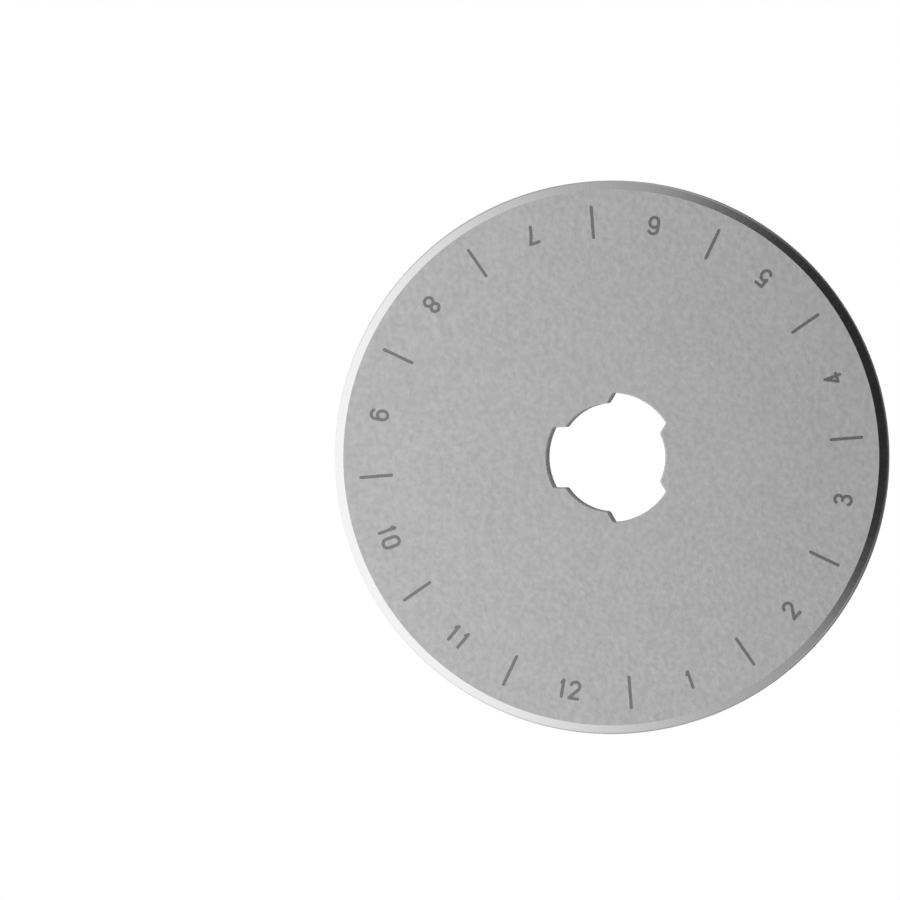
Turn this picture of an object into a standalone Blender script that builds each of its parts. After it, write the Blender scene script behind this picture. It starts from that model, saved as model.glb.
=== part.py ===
"""A rotary cutter blade: one thin ground steel disc, lying on its lower face.

The disc is turned from its section, the lobed arbor hole is cut through it, and the dial's
index lines are cut as shallow grooves in its upper face. Lengths are in metres, +Z is up, and
the origin is the centre of the lower face. Lobe 0 of the hole points along -X.
"""

from math import acos, atan2, ceil, cos, pi, radians, sin, sqrt

import bmesh
import bpy
from mathutils import Matrix, Vector

# The disc
DIAMETER = 0.045
THICKNESS = 0.0003

# The edge, ground from both faces: a wide bevel, then a narrow honed one down to a sharp rim
BEVEL_WIDTH = 0.00062
BEVEL_END_THICKNESS = 0.00006
HONED_WIDTH = 0.00011

# The arbor hole: a round bore with three lobes that the cutter's hub keys into
BORE_DIAMETER = 0.0088
LOBE_DIAMETER = 0.0105
LOBE_WIDTH = 0.0049
LOBE_COUNT = 3
LOBE_DIRECTION = radians(180)
LOBE_CORNER_RADIUS = 0.00015
TOOTH_CORNER_RADIUS = 0.00025

# The dial's index lines, grooves with round ends just inside the bevel
INDEX_COUNT = 12
INDEX_DIRECTION = radians(4.6)
INDEX_LENGTH = 0.00275
INDEX_WIDTH = 0.00026
INDEX_DEPTH = 0.000012
INDEX_TO_BEVEL = 0.00123

# How finely round stretches are cut into facets
RIM_FACETS = 240
CHORD_ERROR = 0.000003
CUTTER_OVERSHOOT = 0.0005

# Hardened tool steel, satin
STEEL_COLOUR = (0.43, 0.43, 0.43, 1.0)
STEEL_ROUGHNESS = 0.38


def clear_scene():
    for item in list(bpy.data.objects):
        bpy.data.objects.remove(item)


def steel():
    """The one material of the blade."""
    material = bpy.data.materials.new("satin_steel")
    material.use_nodes = True
    shader = material.node_tree.nodes["Principled BSDF"]
    shader.inputs["Base Color"].default_value = STEEL_COLOUR
    shader.inputs["Roughness"].default_value = STEEL_ROUGHNESS
    shader.inputs["Metallic"].default_value = 1.0
    return material


def arc(centre, radius, start, end):
    """Points of an arc from one angle to another, both ends included, true to CHORD_ERROR."""
    widest_step = 2 * acos(1 - CHORD_ERROR / radius)
    steps = max(2, ceil(abs(end - start) / widest_step))
    angles = [start + (end - start) * i / steps for i in range(steps + 1)]
    return [Vector((centre[0] + radius * cos(a), centre[1] + radius * sin(a))) for a in angles]


def half_lobe_outline():
    """The hole's outline from the middle of the lobe along +X to the middle of the next tooth.

    Each corner radius touches the lobe's straight side and one of the two round walls, which
    gives its centre.
    """
    bore_radius = BORE_DIAMETER / 2
    lobe_radius = LOBE_DIAMETER / 2
    side = LOBE_WIDTH / 2

    outer_y = side - LOBE_CORNER_RADIUS
    outer_x = sqrt((lobe_radius - LOBE_CORNER_RADIUS) ** 2 - outer_y**2)
    outer_angle = atan2(outer_y, outer_x)

    tooth_y = side + TOOTH_CORNER_RADIUS
    tooth_x = sqrt((bore_radius + TOOTH_CORNER_RADIUS) ** 2 - tooth_y**2)
    tooth_angle = atan2(tooth_y, tooth_x)

    end_wall = arc((0, 0), lobe_radius, 0, outer_angle)
    outer_corner = arc((outer_x, outer_y), LOBE_CORNER_RADIUS, outer_angle, pi / 2)
    tooth_corner = arc((tooth_x, tooth_y), TOOTH_CORNER_RADIUS, -pi / 2, tooth_angle - pi)
    tooth_wall = arc((0, 0), bore_radius, tooth_angle, pi / LOBE_COUNT)
    return end_wall + outer_corner[1:] + tooth_corner + tooth_wall[1:]


def hole_outline():
    """The whole outline, counter-clockwise: each lobe is a half and its mirror image."""
    half = half_lobe_outline()
    mirrored = [Vector((p.x, -p.y)) for p in reversed(half)]
    lobe = mirrored + half[1:]
    outline = []
    for i in range(LOBE_COUNT):
        turn = Matrix.Rotation(LOBE_DIRECTION + 2 * pi * i / LOBE_COUNT, 2)
        outline += [turn @ p for p in lobe[:-1]]
    return outline


def index_outline(direction):
    """One index line's outline: a slot with round ends that lies along a radius."""
    half_width = INDEX_WIDTH / 2
    outer_end = DIAMETER / 2 - HONED_WIDTH - BEVEL_WIDTH - INDEX_TO_BEVEL
    inner_end = outer_end - INDEX_LENGTH
    outer_round = arc((outer_end - half_width, 0), half_width, -pi / 2, pi / 2)
    inner_round = arc((inner_end + half_width, 0), half_width, pi / 2, 3 * pi / 2)
    turn = Matrix.Rotation(direction, 2)
    return [turn @ p for p in outer_round + inner_round]


def add_prism(mesh, outline, bottom, top):
    """Adds an upright prism over a counter-clockwise outline to a bmesh."""
    base = mesh.faces.new([mesh.verts.new((p.x, p.y, bottom)) for p in reversed(outline)])
    grown = bmesh.ops.extrude_face_region(mesh, geom=[base], use_keep_orig=True)
    lifted = [item for item in grown["geom"] if isinstance(item, bmesh.types.BMVert)]
    bmesh.ops.translate(mesh, verts=lifted, vec=(0, 0, top - bottom))


def new_object(name, mesh, sharp_angle):
    """Makes an object of a bmesh, shaded smooth except at edges over the angle."""
    bmesh.ops.recalc_face_normals(mesh, faces=mesh.faces)
    data = bpy.data.meshes.new(name)
    mesh.to_mesh(data)
    mesh.free()
    data.shade_smooth()
    data.set_sharp_from_angle(angle=sharp_angle)
    item = bpy.data.objects.new(name, data)
    bpy.context.scene.collection.objects.link(item)
    return item


def ground_disc():
    """The disc before it is pierced, spun from half of its section about the Z axis."""
    rim = DIAMETER / 2
    honed_from = rim - HONED_WIDTH
    flat_to = honed_from - BEVEL_WIDTH
    middle = THICKNESS / 2
    half_end = BEVEL_END_THICKNESS / 2
    section = [
        (0, 0),
        (flat_to, 0),
        (honed_from, middle - half_end),
        (rim, middle),
        (honed_from, middle + half_end),
        (flat_to, THICKNESS),
        (0, THICKNESS),
    ]
    mesh = bmesh.new()
    points = [mesh.verts.new((r, 0, z)) for r, z in section]
    edges = [mesh.edges.new(pair) for pair in zip(points, points[1:])]
    bmesh.ops.spin(
        mesh,
        geom=points + edges,
        axis=(0, 0, 1),
        cent=(0, 0, 0),
        angle=2 * pi,
        steps=RIM_FACETS,
        use_merge=True,
    )
    bmesh.ops.remove_doubles(mesh, verts=mesh.verts, dist=1e-7)
    return new_object("blade", mesh, radians(5))


def hole_cutter():
    mesh = bmesh.new()
    add_prism(mesh, hole_outline(), -CUTTER_OVERSHOOT, THICKNESS + CUTTER_OVERSHOOT)
    return new_object("arbor_hole_cutter", mesh, radians(30))


def index_cutter():
    mesh = bmesh.new()
    for i in range(INDEX_COUNT):
        outline = index_outline(INDEX_DIRECTION + 2 * pi * i / INDEX_COUNT)
        add_prism(mesh, outline, THICKNESS - INDEX_DEPTH, THICKNESS + CUTTER_OVERSHOOT)
    return new_object("index_line_cutter", mesh, radians(50))


def cut(target, cutter):
    """Takes the cutter's shape out of the target and leaves the cutter as a guide."""
    step = target.modifiers.new(cutter.name, "BOOLEAN")
    step.operation = "DIFFERENCE"
    step.solver = "EXACT"
    step.object = cutter
    cutter.hide_render = True
    cutter.display_type = "WIRE"


def main():
    clear_scene()
    blade = ground_disc()
    blade.data.materials.append(steel())
    cut(blade, hole_cutter())
    cut(blade, index_cutter())


main()
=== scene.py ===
"""The looks of a rotary cutter blade: satin steel with a ground edge and an etched dial.

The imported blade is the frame, and one finer mesh of the same size stands for it. Lengths are in
metres. The blade lies flat with its dial up, its axis on Z, and the photograph's right is +X.
"""

from math import atan2, cos, pi, radians, sin, sqrt

import bmesh
import bpy
from mathutils import Matrix, Vector
from mathutils.geometry import delaunay_2d_cdt


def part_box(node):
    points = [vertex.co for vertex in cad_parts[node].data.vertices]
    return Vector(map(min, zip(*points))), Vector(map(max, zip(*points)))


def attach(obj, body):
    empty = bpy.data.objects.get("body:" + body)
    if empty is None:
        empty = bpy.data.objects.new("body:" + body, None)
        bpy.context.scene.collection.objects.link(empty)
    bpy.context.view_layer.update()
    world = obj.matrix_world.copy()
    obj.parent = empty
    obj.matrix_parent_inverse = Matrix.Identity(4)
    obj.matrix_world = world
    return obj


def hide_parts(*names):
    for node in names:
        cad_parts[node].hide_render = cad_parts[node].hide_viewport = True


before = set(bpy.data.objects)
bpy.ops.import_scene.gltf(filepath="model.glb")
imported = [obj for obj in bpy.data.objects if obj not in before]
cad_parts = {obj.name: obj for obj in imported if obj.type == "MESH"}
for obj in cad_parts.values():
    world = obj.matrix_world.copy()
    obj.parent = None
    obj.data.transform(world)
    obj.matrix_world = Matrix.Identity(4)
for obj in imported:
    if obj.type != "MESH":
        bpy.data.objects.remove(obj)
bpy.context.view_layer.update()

# The box of the imported blade, before anything is added
blade_low, blade_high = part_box("blade")

# The disc
RIM_RADIUS = (blade_high.x - blade_low.x) / 2
THICKNESS = blade_high.z - blade_low.z

# The edge, ground from both faces: a wide bevel, then a narrow honed one
BEVEL_WIDTH = 0.00062
BEVEL_END_THICKNESS = 0.00006
HONED_WIDTH = 0.00011

# The arbor hole: a bore with three lobes, its upper edge rolled over by the punch
BORE_RADIUS = 0.0044
LOBE_RADIUS = 0.00525
LOBE_HALF_WIDTH = 0.00245
LOBE_COUNT = 3
LOBE_DIRECTION = radians(180)
LOBE_CORNER_RADIUS = 0.00015
TOOTH_CORNER_RADIUS = 0.00025
ROLLED_EDGE_WIDTH = 0.0001
ROLLED_EDGE_DEPTH = 0.000035

# The etched dial: twelve index lines with a number half-way between each two
DIAL_COUNT = 12
MARK_DEPTH = 0.000012
MARK_WIDTH = 0.00026
INDEX_DIRECTION = radians(4.6)
INDEX_LENGTH = 0.00275
INDEX_TO_BEVEL = 0.00123
NUMBER_RADIUS = 0.01915
NUMBER_TWELVE_DIRECTION = radians(259.6)
DIGIT_HEIGHT = 0.00135
DIGIT_WIDTH = 0.00072
DIGIT_PITCH = 0.001

# Into how many straight pieces each round stretch is cut
RIM_STEPS = 720
LOBE_WALL_STEPS = 14
LOBE_CORNER_STEPS = 8
TOOTH_CORNER_STEPS = 10
TOOTH_WALL_STEPS = 18
ROLLED_EDGE_STEPS = 6
STROKE_END_STEPS = 8
DIGIT_LEAST_STEPS = 8
DIGIT_DEGREES_A_STEP = 9

# The dial's cutter: strokes that cross are joined in plan, where points closer than the merge
# distance become one, and so do triangles in one plane. It stands above the face that it cuts.
MERGE_DISTANCE = 0.000002
TRIANGLES_INSIDE_OUTLINES = 1
SAME_PLANE_ANGLE = radians(0.1)
CUTTER_ABOVE_FACE = 0.0001

# Where the surface turns by more than this, its shading breaks
SHARP_ANGLE = radians(25)

# Material slots of the blade's mesh, in order
FACE, BEVEL, HONED, WALL, MARK = range(5)

# Noise keeps between these values nearly everywhere
NOISE_LOW = 0.25
NOISE_HIGH = 0.75

# The sky over the table, where a level of 1 is white. It is white at the horizon, and from there
# up to UPPER_FROM it fades to grey. A bright window is on the side that the light comes from, and
# a dark one on the other. Each is round: TILT is the angle from straight overhead to its middle,
# FROM is the middle's direction on the table, and its strength fades between the angles FULL and
# NONE from the middle.
HORIZON_LEVEL = 1.0
UPPER_LEVEL = 0.62
UPPER_FROM = radians(37)
BRIGHT_ADDS = 1.08
BRIGHT_FROM = radians(197)
BRIGHT_TILT = radians(16.1)
BRIGHT_FULL = radians(12.6)
BRIGHT_NONE = radians(36.9)
DARK_TAKES = 0.97
DARK_FROM = radians(15.5)
DARK_TILT = radians(27.6)
DARK_FULL = radians(14.2)
DARK_NONE = radians(28.6)

# The table has its light from a lamp, and only this share of the sky's, so that the blade's
# shadow on it is dark. Its faint glow shows to the camera and in mirrors, and lights nothing.
SKY_ON_TABLE = 0.13
LAMP_FROM = radians(187)
LAMP_TILT = radians(42)
LAMP_ANGLE = radians(6)
LAMP_STRENGTH = 3.8
TABLE_COLOUR = 0.97
TABLE_GLOW = 0.02
TABLE_HALF_WIDTH = 3.0
TABLE_GAP = 0.00001
WHITE = (1, 1, 1, 1)

# The camera looks straight down over this point, and sees this much of the blade's plane from
# side to side
CAMERA_OVER = (-0.0131, 0.0006)
VIEW_WIDTH = 0.07316
CAMERA_LENS = 150
CAMERA_SENSOR = 36
CAMERA_CLIP_START = 0.005


# Outlines


def arc(centre, radii, start, end, steps):
    """Points of a circle's or an ellipse's arc from one angle to another, both ends included."""
    angles = [start + (end - start) * i / steps for i in range(steps + 1)]
    return [Vector((centre[0] + radii[0] * cos(a), centre[1] + radii[1] * sin(a))) for a in angles]


def round_arc(centre, radius, start, end, steps):
    return arc(centre, (radius, radius), start, end, steps)


def half_lobe_outline(grow):
    """The hole's outline, grown outwards, from mid-lobe along +X to the middle of a tooth.

    Each corner touches the lobe's straight side and one of the two round walls, which gives its
    centre.
    """
    bore = BORE_RADIUS + grow
    lobe = LOBE_RADIUS + grow
    side = LOBE_HALF_WIDTH + grow
    corner = LOBE_CORNER_RADIUS + grow
    tooth = TOOTH_CORNER_RADIUS - grow

    corner_y = side - corner
    corner_x = sqrt((lobe - corner) ** 2 - corner_y**2)
    corner_angle = atan2(corner_y, corner_x)
    tooth_y = side + tooth
    tooth_x = sqrt((bore + tooth) ** 2 - tooth_y**2)
    tooth_angle = atan2(tooth_y, tooth_x)

    lobe_wall = round_arc((0, 0), lobe, 0, corner_angle, LOBE_WALL_STEPS)
    lobe_corner = round_arc((corner_x, corner_y), corner, corner_angle, pi / 2, LOBE_CORNER_STEPS)
    tooth_corner = round_arc((tooth_x, tooth_y), tooth, -pi / 2, tooth_angle - pi, TOOTH_CORNER_STEPS)
    tooth_wall = round_arc((0, 0), bore, tooth_angle, pi / LOBE_COUNT, TOOTH_WALL_STEPS)
    return lobe_wall + lobe_corner[1:] + tooth_corner + tooth_wall[1:]


def hole_outline(grow):
    """The hole's whole outline, counter-clockwise: each lobe is a half and its mirror image."""
    half = half_lobe_outline(grow)
    lobe = [Vector((p.x, -p.y)) for p in reversed(half)] + half[1:-1]
    outline = []
    for i in range(LOBE_COUNT):
        turn = Matrix.Rotation(LOBE_DIRECTION + 2 * pi * i / LOBE_COUNT, 2)
        outline += [turn @ p for p in lobe]
    return outline


def stroke_outline(path):
    """Outline of a mark along a path, with round ends."""
    half = MARK_WIDTH / 2
    normals = []
    for i in range(len(path)):
        before = path[max(i - 1, 0)]
        after = path[min(i + 1, len(path) - 1)]
        along = (after - before).normalized()
        normals.append(Vector((-along.y, along.x)))
    left = [p + half * n for p, n in zip(path, normals)]
    right = [p - half * n for p, n in zip(path, normals)]
    end_turn = atan2(-normals[-1].y, -normals[-1].x)
    start_turn = atan2(normals[0].y, normals[0].x)
    end_cap = round_arc(path[-1], half, end_turn, end_turn + pi, STROKE_END_STEPS)
    start_cap = round_arc(path[0], half, start_turn, start_turn + pi, STROKE_END_STEPS)
    return right + end_cap[1:-1] + left[::-1] + start_cap[1:-1]


# The dial's strokes


def line(*points):
    return [Vector(p) for p in points]


def bow(centre, radii, start, end):
    """Part of a digit that is round, between two angles in degrees."""
    steps = max(DIGIT_LEAST_STEPS, round(abs(end - start) / DIGIT_DEGREES_A_STEP))
    return arc(centre, radii, radians(start), radians(end), steps)


def digit_strokes(digit):
    """Centre lines of an engraved digit that stands on y = 0 with its middle at x = 0.

    Its forms are shares of its height and of its half-width. A closed form is two strokes whose
    ends overlap, because one stroke's outline can't close on itself.
    """
    top = DIGIT_HEIGHT
    side = DIGIT_WIDTH / 2
    if digit == "0":
        left = bow((0, top - side), (side, side), 80, 180) + bow((0, side), (side, side), 180, 280)
        right = bow((0, side), (side, side), -100, 0) + bow((0, top - side), (side, side), 0, 100)
        return [left, right]
    if digit == "1":
        return [line((0, 0), (0, top)), line((0, top), (-0.4 * side, 0.84 * top))]
    if digit == "2":
        hook = bow((0, top - side), (side, side), 165, -35)
        return [hook + line((-side, 0)), line((-side, 0), (side, 0))]
    if digit == "3":
        upper = 0.235 * top
        lower = 0.265 * top
        head = bow((0, top - upper), (0.88 * side, upper), 150, -90)
        bowl = bow((0, lower), (side, lower), 90, -150)
        return [head, bowl, line((-0.15 * side, 2 * lower), (0.1 * side, 2 * lower))]
    if digit == "4":
        apex = (0.35 * side, top)
        foot = (0.35 * side, 0.06 * top)
        bar = 0.28 * top
        return [line(apex, (-side, bar)), line((-side, bar), (0.85 * side, bar)), line(apex, foot)]
    if digit == "5":
        lower = 0.32 * top
        return [
            line((0.85 * side, top), (-0.8 * side, top)),
            line((-0.8 * side, top), (-0.88 * side, 0.56 * top)),
            bow((-0.02 * side, lower), (side, lower), 148, -145),
        ]
    if digit == "6":
        lower = 0.31 * top
        hook = bow((0, top - 0.9 * side), (side, 0.9 * side), 30, 180) + line((-side, lower))
        bowl = [bow((0, lower), (side, lower), start, end) for start, end in ((190, -100), (170, 280))]
        return [hook] + bowl
    if digit == "7":
        stem = line((side, top), (0.25 * side, 0.5 * top), (-0.2 * side, 0))
        return [line((-side, top), (side, top)), stem]
    if digit == "8":
        upper = 0.24 * top
        lower = 0.26 * top
        strokes = []
        for middle, radii in (((0, top - upper), (0.92 * side, upper)), ((0, lower), (side, lower))):
            strokes.append(bow(middle, radii, 80, 280))
            strokes.append(bow(middle, radii, -100, 100))
        return strokes
    # A 9 is a 6 turned over
    return [[Vector((-p.x, top - p.y)) for p in stroke] for stroke in digit_strokes("6")]


def number_strokes(number):
    """Strokes of a number on the dial, its top towards the blade's centre."""
    direction = NUMBER_TWELVE_DIRECTION + 2 * pi * number / DIAL_COUNT
    middle = NUMBER_RADIUS * Vector((cos(direction), sin(direction)))
    turn = Matrix.Rotation(direction + pi / 2, 2)
    text = str(number)
    strokes = []
    for place, digit in enumerate(text):
        across = DIGIT_PITCH * (place - (len(text) - 1) / 2)
        for stroke in digit_strokes(digit):
            shift = Vector((across, -DIGIT_HEIGHT / 2))
            strokes.append([middle + turn @ (p + shift) for p in stroke])
    return strokes


def index_stroke(number):
    """Centre line of an index line, which ends half a width before the line's round ends do."""
    direction = INDEX_DIRECTION + 2 * pi * number / DIAL_COUNT
    along = Vector((cos(direction), sin(direction)))
    outer = RIM_RADIUS - HONED_WIDTH - BEVEL_WIDTH - INDEX_TO_BEVEL - MARK_WIDTH / 2
    inner = outer - INDEX_LENGTH + MARK_WIDTH
    return [inner * along, outer * along]


def dial_strokes():
    strokes = []
    for number in range(DIAL_COUNT):
        strokes.append(index_stroke(number))
        strokes += number_strokes(number + 1)
    return strokes


# The mesh


def at_height(outline, height):
    return [(p.x, p.y, height) for p in outline]


def loft(rings, end_slot, side_slots):
    """A closed solid through rings of points, from the lowest to the highest."""
    mesh = bmesh.new()
    loops = [[mesh.verts.new(point) for point in ring] for ring in rings]
    for end in (reversed(loops[0]), loops[-1]):
        mesh.faces.new(end).material_index = end_slot
    for lower, upper, slot in zip(loops, loops[1:], side_slots):
        for i in range(len(lower)):
            corners = (lower[i - 1], lower[i], upper[i], upper[i - 1])
            mesh.faces.new(corners).material_index = slot
    return mesh


def disc_mesh():
    """The ground disc before it is pierced, through circles from its lower to its upper face."""
    middle = THICKNESS / 2
    half_end = BEVEL_END_THICKNESS / 2
    honed_from = RIM_RADIUS - HONED_WIDTH
    flat_to = honed_from - BEVEL_WIDTH
    section = (
        (flat_to, 0),
        (honed_from, middle - half_end),
        (RIM_RADIUS, middle),
        (honed_from, middle + half_end),
        (flat_to, THICKNESS),
    )
    rings = []
    for radius, height in section:
        circle = round_arc((0, 0), radius, 0, 2 * pi, RIM_STEPS)
        rings.append(at_height(circle[:-1], height))
    return loft(rings, FACE, (BEVEL, HONED, HONED, BEVEL))


def hole_cutter_mesh():
    """The punch: as wide as the hole, and flared where it rolls the upper edge over."""
    rings = [at_height(hole_outline(0), -THICKNESS)]
    for i in range(ROLLED_EDGE_STEPS + 1):
        turn = radians(90) * (1 - i / ROLLED_EDGE_STEPS)
        grow = ROLLED_EDGE_WIDTH * (1 - sin(turn))
        height = THICKNESS - ROLLED_EDGE_DEPTH * (1 - cos(turn))
        rings.append(at_height(hole_outline(grow), height))
    rings.append(at_height(hole_outline(ROLLED_EDGE_WIDTH), 2 * THICKNESS))
    return loft(rings, WALL, [WALL] * (len(rings) - 1))


def joined_in_plan(outlines, height):
    """A flat mesh of the area inside any of the outlines, which may cross each other."""
    points = []
    loops = []
    for outline in outlines:
        loops.append(list(range(len(points), len(points) + len(outline))))
        points += outline
    points, _, triangles, _, _, loops_round_it = delaunay_2d_cdt(
        points, [], loops, TRIANGLES_INSIDE_OUTLINES, MERGE_DISTANCE
    )
    mesh = bmesh.new()
    corners = [mesh.verts.new((*point, height)) for point in points]
    for triangle, loops_round_this in zip(triangles, loops_round_it):
        # The middle of an 8 has triangles too, which no stroke covers
        if loops_round_this:
            mesh.faces.new([corners[i] for i in triangle])
    bmesh.ops.dissolve_limit(
        mesh, angle_limit=SAME_PLANE_ANGLE, verts=mesh.verts, edges=mesh.edges
    )
    return mesh


def mark_cutter_mesh():
    """All marks of the dial, raised from their floor through the upper face."""
    outlines = [stroke_outline(stroke) for stroke in dial_strokes()]
    mesh = joined_in_plan(outlines, THICKNESS - MARK_DEPTH)
    grown = bmesh.ops.extrude_face_region(mesh, geom=mesh.faces[:], use_keep_orig=True)
    lifted = [item for item in grown["geom"] if isinstance(item, bmesh.types.BMVert)]
    bmesh.ops.translate(mesh, verts=lifted, vec=(0, 0, MARK_DEPTH + CUTTER_ABOVE_FACE))
    bmesh.ops.recalc_face_normals(mesh, faces=mesh.faces)
    for face in mesh.faces:
        face.material_index = MARK
    return mesh


def new_object(name, mesh, materials):
    data = bpy.data.meshes.new(name)
    mesh.normal_update()
    mesh.to_mesh(data)
    mesh.free()
    for material in materials:
        data.materials.append(material)
    item = bpy.data.objects.new(name, data)
    bpy.context.scene.collection.objects.link(item)
    return item


def cut(target, cutter):
    """Applies a Boolean cut and removes the cutter."""
    step = target.modifiers.new(cutter.name, "BOOLEAN")
    step.operation = "DIFFERENCE"
    step.solver = "EXACT"
    step.object = cutter
    graph = bpy.context.evaluated_depsgraph_get()
    result = bpy.data.meshes.new_from_object(target.evaluated_get(graph))
    target.modifiers.clear()
    target.data = result
    bpy.data.objects.remove(cutter)


def shade(item):
    """Smooth shading that breaks where the finish changes or the surface turns sharply."""
    mesh = bmesh.new()
    mesh.from_mesh(item.data)
    for face in mesh.faces:
        face.smooth = True
    for edge in mesh.edges:
        slots = {face.material_index for face in edge.link_faces}
        edge.smooth = len(slots) == 1 and edge.calc_face_angle(0) < SHARP_ANGLE
    mesh.to_mesh(item.data)
    mesh.free()


# Node trees


class Nodes:
    """A node tree under construction, with short ways to add to it."""

    def __init__(self, tree):
        self.tree = tree

    def add(self, kind, **settings):
        node = self.tree.nodes.new(kind)
        for name, value in settings.items():
            setattr(node, name, value)
        return node

    def put(self, node, socket, value):
        """Sets an input, or links it where the value is another node's output."""
        target = node.inputs[socket]
        if isinstance(value, bpy.types.NodeSocket):
            self.tree.links.new(value, target)
        else:
            target.default_value = value

    def math(self, operation, *values):
        node = self.add("ShaderNodeMath", operation=operation)
        for i, value in enumerate(values):
            self.put(node, i, value)
        return node.outputs[0]


class Surface(Nodes):
    """A material."""

    def __init__(self, name):
        self.material = bpy.data.materials.new(name)
        self.material.use_nodes = True
        super().__init__(self.material.node_tree)
        self.shader = self.tree.nodes["Principled BSDF"]

    def set(self, socket, value):
        self.put(self.shader, socket, value)


class Finish(Surface):
    """A finish of the steel, with patterns that vary over it."""

    def __init__(self, name):
        super().__init__(name)
        self.set("Metallic", 1.0)
        self.place = self.add("ShaderNodeTexCoord").outputs["Object"]

    def noise(self, size=1.0, detail=2.0, roughness=0.5, vector=None):
        """Noise from 0 to 1 whose main features are about this long."""
        node = self.add("ShaderNodeTexNoise")
        self.put(node, "Vector", self.place if vector is None else vector)
        self.put(node, "Scale", 1 / size)
        self.put(node, "Detail", detail)
        self.put(node, "Roughness", roughness)
        return node.outputs["Fac"]

    def around(self, noise, middle, spread):
        """Turns noise into values that keep about this far from a middle."""
        node = self.add("ShaderNodeMapRange", clamp=False)
        self.put(node, "Value", noise)
        self.put(node, "From Min", NOISE_LOW)
        self.put(node, "From Max", NOISE_HIGH)
        self.put(node, "To Min", middle - spread)
        self.put(node, "To Max", middle + spread)
        return node.outputs["Result"]

    def grey(self, value):
        node = self.add("ShaderNodeCombineColor")
        for channel in ("Red", "Green", "Blue"):
            self.put(node, channel, value)
        return node.outputs["Color"]

    def bump(self, pattern, height):
        node = self.add("ShaderNodeBump")
        self.put(node, "Height", pattern)
        self.put(node, "Distance", height)
        self.set("Normal", node.outputs["Normal"])

    def follow(self, pattern, tone, roughness, height):
        """Lets one pattern vary the tone, the roughness and the height of the surface.

        Tone and roughness are each a middle and a spread.
        """
        self.set("Base Color", self.grey(self.around(pattern, *tone)))
        self.set("Roughness", self.around(pattern, *roughness))
        self.bump(pattern, height)

    def polar(self, round_rim, outwards):
        """Coordinates in which a pattern lies round the blade's axis.

        One unit is this long round the rim, and this long from the axis outwards and upwards.
        """
        parts = self.add("ShaderNodeSeparateXYZ")
        self.put(parts, 0, self.place)
        x, y, z = parts.outputs
        turn = self.math("ARCTAN2", y, x)
        squares = self.math("ADD", self.math("MULTIPLY", x, x), self.math("MULTIPLY", y, y))
        radius = self.math("SQRT", squares)
        joined = self.add("ShaderNodeCombineXYZ")
        self.put(joined, "X", self.math("MULTIPLY", turn, RIM_RADIUS / round_rim))
        self.put(joined, "Y", self.math("DIVIDE", radius, outwards))
        self.put(joined, "Z", self.math("DIVIDE", z, outwards))
        return joined.outputs["Vector"]


class Sky(Nodes):
    """The world, which varies with the direction of the look."""

    def __init__(self, name):
        self.world = bpy.data.worlds.new(name)
        self.world.use_nodes = True
        super().__init__(self.world.node_tree)
        self.look = self.add("ShaderNodeTexCoord").outputs["Generated"]

    def rise(self, towards, nearest, farthest):
        """0 to 1 as the look turns towards a direction, between two cosines to it."""
        share = self.add("ShaderNodeVectorMath", operation="DOT_PRODUCT")
        self.put(share, 0, self.look)
        self.put(share, 1, towards)
        step = self.add("ShaderNodeMapRange", interpolation_type="SMOOTHSTEP")
        self.put(step, "Value", share.outputs["Value"])
        self.put(step, "From Min", farthest)
        self.put(step, "From Max", nearest)
        return step.outputs["Result"]

    def window(self, tilt, direction, full, none):
        return self.rise(from_overhead(tilt, direction), cos(full), cos(none))


# The steel's finishes


def satin_face():
    """The faces: a fine even grain with faint clouds."""
    finish = Finish("satin_steel")
    grain = finish.noise(size=0.00045, detail=1.5)
    clouds = finish.noise(size=0.007, detail=3.0)
    dullness = finish.noise(size=0.0005)
    fine_tone = finish.around(grain, middle=0.0, spread=0.035)
    broad_tone = finish.around(clouds, middle=0.43, spread=0.008)
    finish.set("Base Color", finish.grey(finish.math("ADD", fine_tone, broad_tone)))
    finish.set("Roughness", finish.around(dullness, middle=0.39, spread=0.02))
    finish.bump(grain, height=0.00001)
    return finish.material


def ground_bevel():
    """The wide bevel: bright steel with fine grinding lines across it."""
    finish = Finish("ground_steel")
    rays = finish.polar(round_rim=0.00012, outwards=0.004)
    lines = finish.noise(detail=3.0, roughness=0.6, vector=rays)
    finish.follow(lines, tone=(0.54, 0.015), roughness=(0.18, 0.03), height=0.0000008)
    return finish.material


def honed_edge():
    """The last narrow bevel: the same steel, honed finer."""
    finish = Finish("honed_steel")
    lines = finish.noise(vector=finish.polar(round_rim=0.00006, outwards=0.002))
    finish.follow(lines, tone=(0.56, 0.01), roughness=(0.18, 0.02), height=0.0000003)
    return finish.material


def punched_wall():
    """The hole's wall: streaks that run the way of the punch."""
    finish = Finish("punched_steel")
    down_the_wall = finish.polar(round_rim=0.0003, outwards=0.0012)
    streaks = finish.noise(detail=3.0, vector=down_the_wall)
    finish.follow(streaks, tone=(0.42, 0.03), roughness=(0.34, 0.06), height=0.000004)
    return finish.material


def etched_mark():
    """The dial's marks: darkened by the etch, and pitted."""
    finish = Finish("etched_steel")
    pits = finish.noise(size=0.00008)
    finish.follow(pits, tone=(0.16, 0.025), roughness=(0.28, 0.05), height=0.000003)
    return finish.material


# Table, light and camera


def from_overhead(tilt, direction):
    """A unit vector, tilted from straight up towards a direction on the table."""
    return Vector((sin(tilt) * cos(direction), sin(tilt) * sin(direction), cos(tilt)))


def seen_directly(nodes):
    """1 for rays from the camera or off a mirror, and 0 for the light that falls on things."""
    path = nodes.add("ShaderNodeLightPath")
    seen = path.outputs["Is Camera Ray"]
    for name in ("Is Glossy Ray", "Is Transmission Ray"):
        seen = nodes.math("MAXIMUM", seen, path.outputs[name])
    return seen


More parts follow.
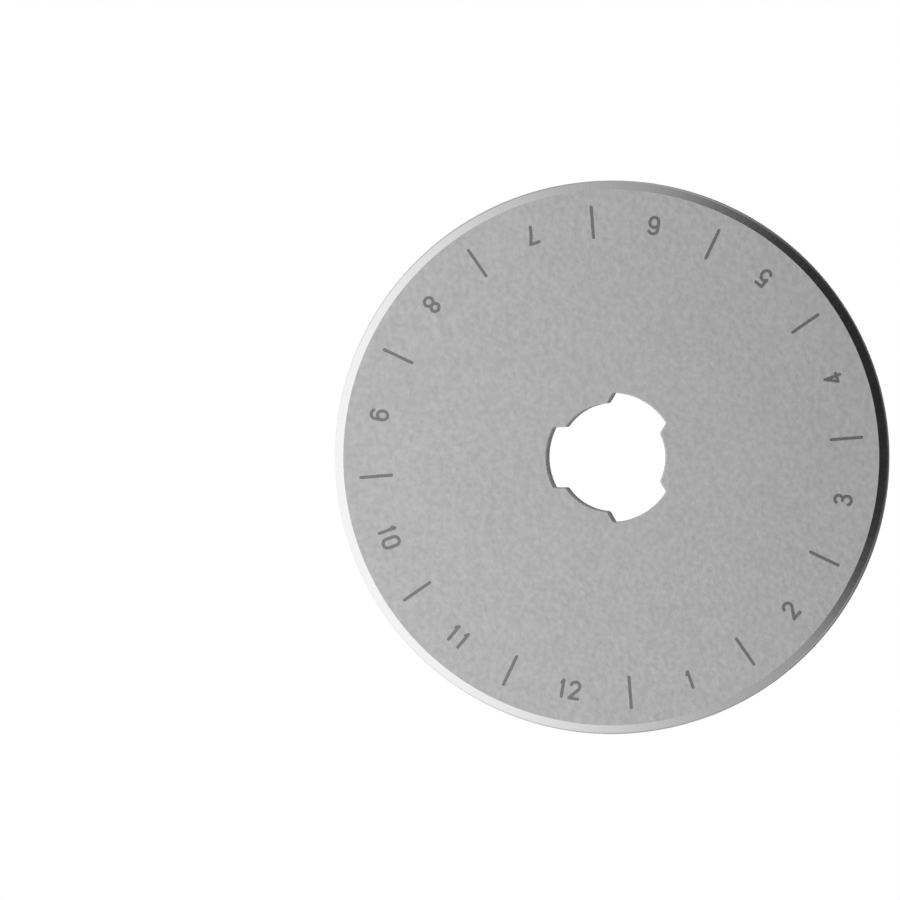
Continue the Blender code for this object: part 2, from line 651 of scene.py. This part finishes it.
def add_table():
    paint = Surface("white_table")
    paint.set("Base Color", (TABLE_COLOUR, TABLE_COLOUR, TABLE_COLOUR, 1))
    paint.set("Roughness", 1.0)
    paint.set("Specular IOR Level", 0.0)
    paint.set("Emission Color", WHITE)
    paint.set("Emission Strength", paint.math("MULTIPLY", seen_directly(paint), TABLE_GLOW))
    mesh = bmesh.new()
    bmesh.ops.create_grid(mesh, x_segments=1, y_segments=1, size=TABLE_HALF_WIDTH)
    table = new_object("table", mesh, [paint.material])
    table.location.z = -TABLE_GAP


def add_sky():
    sky = Sky("studio")
    bpy.context.scene.world = sky.world
    upper = sky.rise((0, 0, 1), sin(UPPER_FROM), 0)
    level = sky.math("MULTIPLY", upper, UPPER_LEVEL - HORIZON_LEVEL)
    level = sky.math("ADD", level, HORIZON_LEVEL)
    bright = sky.window(BRIGHT_TILT, BRIGHT_FROM, BRIGHT_FULL, BRIGHT_NONE)
    level = sky.math("ADD", level, sky.math("MULTIPLY", bright, BRIGHT_ADDS))
    dark = sky.window(DARK_TILT, DARK_FROM, DARK_FULL, DARK_NONE)
    kept = sky.math("SUBTRACT", 1, sky.math("MULTIPLY", dark, DARK_TAKES))
    level = sky.math("MULTIPLY", level, kept)
    on_table = sky.add("ShaderNodeLightPath").outputs["Is Diffuse Ray"]
    lost = sky.math("MULTIPLY", on_table, 1 - SKY_ON_TABLE)
    level = sky.math("MULTIPLY", level, sky.math("SUBTRACT", 1, lost))
    background = sky.tree.nodes["Background"]
    sky.put(background, "Color", WHITE)
    sky.put(background, "Strength", level)


def add_lamp():
    """A lamp for the table: the steel doesn't mirror it."""
    light = bpy.data.lights.new("soft_lamp", "SUN")
    light.energy = LAMP_STRENGTH
    light.angle = LAMP_ANGLE
    lamp = bpy.data.objects.new("soft_lamp", light)
    lamp.rotation_euler = from_overhead(LAMP_TILT, LAMP_FROM).to_track_quat("Z", "Y").to_euler()
    lamp.visible_glossy = False
    bpy.context.scene.collection.objects.link(lamp)


def add_camera():
    data = bpy.data.cameras.new("camera")
    data.lens = CAMERA_LENS
    data.sensor_width = CAMERA_SENSOR
    data.clip_start = CAMERA_CLIP_START
    camera = bpy.data.objects.new("camera", data)
    distance = VIEW_WIDTH * CAMERA_LENS / CAMERA_SENSOR
    camera.location = (*CAMERA_OVER, distance + THICKNESS / 2)
    bpy.context.scene.collection.objects.link(camera)
    bpy.context.scene.camera = camera


def add_blade():
    materials = [satin_face(), ground_bevel(), honed_edge(), punched_wall(), etched_mark()]
    blade = new_object("ground_blade", disc_mesh(), materials)
    cut(blade, new_object("punch", hole_cutter_mesh(), materials))
    cut(blade, new_object("dial", mark_cutter_mesh(), materials))
    shade(blade)
    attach(blade, "root")
    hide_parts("blade")


def main():
    add_blade()
    add_table()
    add_sky()
    add_lamp()
    add_camera()
    bpy.context.scene.view_settings.view_transform = "Standard"


main()
